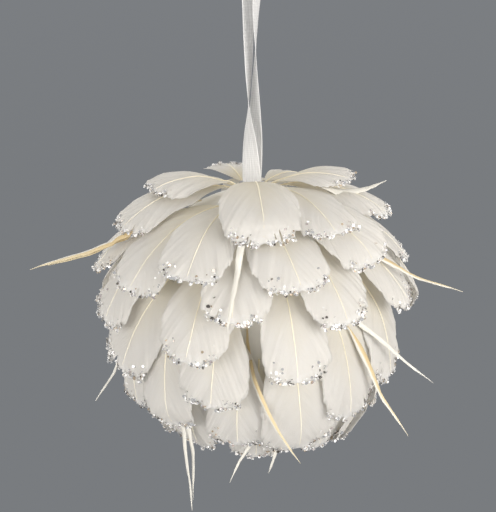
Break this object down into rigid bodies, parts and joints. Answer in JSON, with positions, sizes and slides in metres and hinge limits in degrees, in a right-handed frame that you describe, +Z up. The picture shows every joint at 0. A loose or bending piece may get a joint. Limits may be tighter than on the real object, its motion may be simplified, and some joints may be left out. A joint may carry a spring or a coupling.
{
  "type": "feather ball ornament",
  "caption": "Hanging ball ornament: overlapping white feathers with glittered tips and loose quill spikes over a foam ball, on a sheer ribbon loop.",
  "frame": {"origin": "the hang point, inside the top of the ribbon loop", "axes": "+Z up along the hanging line, -Y towards the front of the ornament, +X to its right"},
  "size_m": [0.166, 0.1246, 0.2016],
  "materials": {
    "feather": "matte",
    "quill": "satin",
    "glitter": "gloss",
    "organza": "satin",
    "foam": "matte",
    "steel_wire": "satin"
  },
  "bodies": {
    "hanger": {"ribbon_upper": "organza"},
    "ribbon_end": {"ribbon_lower": "organza"},
    "ball": {"bottom_feathers": "feather", "crown_pin": "steel_wire", "fifth_row_feather_a": "feather", "fifth_row_feather_b": "feather", "fifth_row_feather_c": "feather", "fifth_row_feather_d": "feather", "fifth_row_feather_e": "feather", "fifth_row_feather_f": "feather", "fifth_row_feather_g": "feather", "fifth_row_feather_h": "feather", "fifth_row_feather_i": "feather", "fifth_row_feather_j": "feather", "foam_ball": "foam", "fourth_row_feather_a": "feather", "fourth_row_feather_b": "feather", "fourth_row_feather_c": "feather", "fourth_row_feather_d": "feather", "fourth_row_feather_e": "feather", "fourth_row_feather_f": "feather", "fourth_row_feather_g": "feather", "fourth_row_feather_h": "feather", "fourth_row_feather_i": "feather", "lower_crown_feather_a": "feather", "lower_crown_feather_b": "feather", "lower_crown_feather_c": "feather", "lower_crown_feather_d": "feather", "lower_crown_feather_e": "feather", "lower_crown_feather_f": "feather", "second_row_feather_a": "feather", "second_row_feather_b": "feather", "second_row_feather_c": "feather", "second_row_feather_d": "feather", "second_row_feather_e": "feather", "second_row_feather_f": "feather", "second_row_feather_g": "feather", "second_row_feather_h": "feather", "second_row_feather_i": "feather", "second_row_feather_j": "feather", "sixth_row_feathers": "feather", "spikes_front": "quill", "spikes_left": "quill", "spikes_lower": "quill", "spikes_right": "quill", "third_row_feather_a": "feather", "third_row_feather_b": "feather", "third_row_feather_c": "feather", "third_row_feather_d": "feather", "third_row_feather_e": "feather", "third_row_feather_f": "feather", "third_row_feather_g": "feather", "third_row_feather_h": "feather", "third_row_feather_i": "feather", "underside_feathers": "feather", "upper_crown_feather_a": "feather", "upper_crown_feather_b": "feather", "upper_crown_feather_c": "feather", "upper_crown_feather_d": "feather", "upper_crown_feather_e": "feather"}
  },
  "joints": [
    {"name": "ball_spin", "type": "hinge", "parent": "hanger", "child": "ribbon_end", "pos_m": [0, 0, -0.052], "axis": [0, 0, 1], "range_deg": [-170, 170]},
    {"name": "ball_swing", "type": "hinge", "parent": "ribbon_end", "child": "ball", "pos_m": [0, 0, -0.0778], "axis": [1, 0, 0], "range_deg": [-60, 60]}
  ]
}
